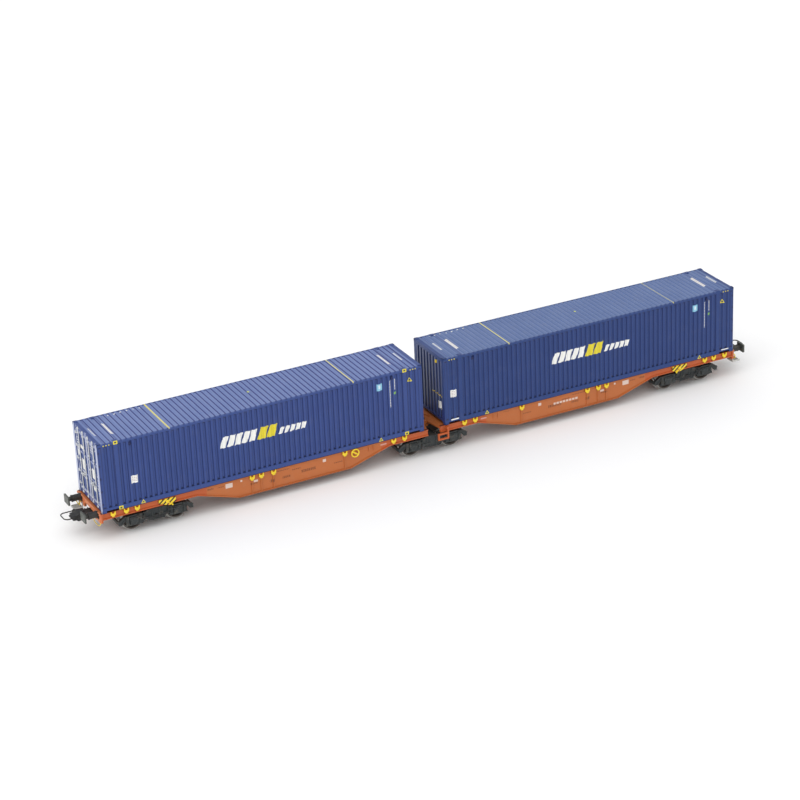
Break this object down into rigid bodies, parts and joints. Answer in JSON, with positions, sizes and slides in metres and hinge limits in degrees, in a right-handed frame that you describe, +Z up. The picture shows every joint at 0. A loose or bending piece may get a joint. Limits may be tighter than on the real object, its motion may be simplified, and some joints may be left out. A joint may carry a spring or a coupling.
{
  "type": "model railway articulated container flat wagon",
  "caption": "Model railway flat wagon of hinged halves over a shared bogie, loaded with long ribbed containers, with turning bogies, free wheels and hook-and-loop couplers.",
  "frame": {"origin": "middle of the footprint, level with the bottoms of the wheel flanges, under the middle bogie's pivot", "axes": "+X along the wagon towards end b, +Y across it, +Z up"},
  "size_m": [0.3544, 0.031, 0.0473],
  "materials": {
    "frame_orange": "semi-matt orange-red lacquer",
    "safety_yellow": "satin yellow print and plastic",
    "underframe_grey": "matt dark grey plastic",
    "bogie_plastic": "matt dark grey plastic",
    "wheel_metal": "blackened metal with bright treads",
    "coupler_black": "matt black plastic",
    "coupler_wire": "blackened wire",
    "buffer_black": "matt black plastic, grey on the faces",
    "step_grey": "light grey plastic",
    "container_blue": "matt blue plastic",
    "container_roof_blue": "matt blue plastic"
  },
  "bodies": {
    "half_wagon_a": {"a_left_sill": "frame_orange", "a_right_sill": "frame_orange", "a_centre_sill": "frame_orange", "a_cross_beams": "frame_orange", "a_inner_deck": "frame_orange", "a_outer_deck": "frame_orange", "a_headstock": "frame_orange", "a_buffers": "buffer_black", "a_spigots": "safety_yellow", "a_changeover_panels": "safety_yellow", "a_handbrake_wheel": "safety_yellow", "a_air_tank": "underframe_grey", "a_loop_step": "frame_orange", "a_end_step": "step_grey", "a_container_left_wall": "container_blue", "a_container_right_wall": "container_blue", "a_container_front_wall": "container_blue", "a_container_doors": "container_blue", "a_container_roof": "container_roof_blue", "a_container_floor": "underframe_grey", "a_container_posts": "container_blue"},
    "bogie_a": {"a_bogie_frame": "bogie_plastic"},
    "inner_wheelset_a": {"a_inner_wheelset": "wheel_metal"},
    "outer_wheelset_a": {"a_outer_wheelset": "wheel_metal"},
    "coupler_a": {"a_coupler": "coupler_black"},
    "bail_a": {"a_bail": "coupler_wire"},
    "half_wagon_b": {"b_left_sill": "frame_orange", "b_right_sill": "frame_orange", "b_centre_sill": "frame_orange", "b_cross_beams": "frame_orange", "b_inner_deck": "frame_orange", "b_outer_deck": "frame_orange", "b_headstock": "frame_orange", "b_buffers": "buffer_black", "b_spigots": "safety_yellow", "b_changeover_panels": "safety_yellow", "b_handbrake_wheel": "safety_yellow", "b_air_tank": "underframe_grey", "b_loop_step": "frame_orange", "b_end_step": "step_grey", "b_container_left_wall": "container_blue", "b_container_right_wall": "container_blue", "b_container_front_wall": "container_blue", "b_container_doors": "container_blue", "b_container_roof": "container_roof_blue", "b_container_floor": "underframe_grey", "b_container_posts": "container_blue"},
    "bogie_b": {"b_bogie_frame": "bogie_plastic"},
    "inner_wheelset_b": {"b_inner_wheelset": "wheel_metal"},
    "outer_wheelset_b": {"b_outer_wheelset": "wheel_metal"},
    "coupler_b": {"b_coupler": "coupler_black"},
    "bail_b": {"b_bail": "coupler_wire"},
    "middle_bogie": {"middle_bogie_frame": "bogie_plastic"},
    "middle_wheelset_a": {"middle_wheelset_a": "wheel_metal"},
    "middle_wheelset_b": {"middle_wheelset_b": "wheel_metal"}
  },
  "joints": [
    {"name": "half_wagon_a_swing", "type": "hinge", "parent": "middle_bogie", "child": "half_wagon_a", "pos_m": [0, 0, 0.011], "axis": [0, 0, -1], "range_deg": [-11, 11]},
    {"name": "bogie_a_turn", "type": "hinge", "parent": "half_wagon_a", "child": "bogie_a", "pos_m": [-0.1379, 0, 0.012], "axis": [0, 0, -1], "range_deg": [-12, 12]},
    {"name": "inner_axle_a", "type": "hinge", "parent": "bogie_a", "child": "inner_wheelset_a", "pos_m": [-0.12755, 0, 0.00615], "axis": [0, 1, 0], "continuous": true},
    {"name": "outer_axle_a", "type": "hinge", "parent": "bogie_a", "child": "outer_wheelset_a", "pos_m": [-0.14825, 0, 0.00615], "axis": [0, 1, 0], "continuous": true},
    {"name": "coupler_a_swing", "type": "hinge", "parent": "half_wagon_a", "child": "coupler_a", "pos_m": [-0.157, 0, 0.0094], "axis": [0, 0, -1], "range_deg": [-12, 12]},
    {"name": "bail_a_lift", "type": "hinge", "parent": "coupler_a", "child": "bail_a", "pos_m": [-0.1702, 0, 0.0101], "axis": [0, 1, 0], "range_deg": [0, 35]},
    {"name": "half_wagon_b_swing", "type": "hinge", "parent": "middle_bogie", "child": "half_wagon_b", "pos_m": [0, 0, 0.011], "axis": [0, 0, 1], "range_deg": [-11, 11]},
    {"name": "bogie_b_turn", "type": "hinge", "parent": "half_wagon_b", "child": "bogie_b", "pos_m": [0.1379, 0, 0.012], "axis": [0, 0, 1], "range_deg": [-12, 12]},
    {"name": "inner_axle_b", "type": "hinge", "parent": "bogie_b", "child": "inner_wheelset_b", "pos_m": [0.12755, 0, 0.00615], "axis": [0, 1, 0], "continuous": true},
    {"name": "outer_axle_b", "type": "hinge", "parent": "bogie_b", "child": "outer_wheelset_b", "pos_m": [0.14825, 0, 0.00615], "axis": [0, 1, 0], "continuous": true},
    {"name": "coupler_b_swing", "type": "hinge", "parent": "half_wagon_b", "child": "coupler_b", "pos_m": [0.157, 0, 0.0094], "axis": [0, 0, 1], "range_deg": [-12, 12]},
    {"name": "bail_b_lift", "type": "hinge", "parent": "coupler_b", "child": "bail_b", "pos_m": [0.1702, 0, 0.0101], "axis": [0, -1, 0], "range_deg": [0, 35]},
    {"name": "middle_axle_a", "type": "hinge", "parent": "middle_bogie", "child": "middle_wheelset_a", "pos_m": [-0.01035, 0, 0.00615], "axis": [0, 1, 0], "continuous": true},
    {"name": "middle_axle_b", "type": "hinge", "parent": "middle_bogie", "child": "middle_wheelset_b", "pos_m": [0.01035, 0, 0.00615], "axis": [0, 1, 0], "continuous": true}
  ]
}
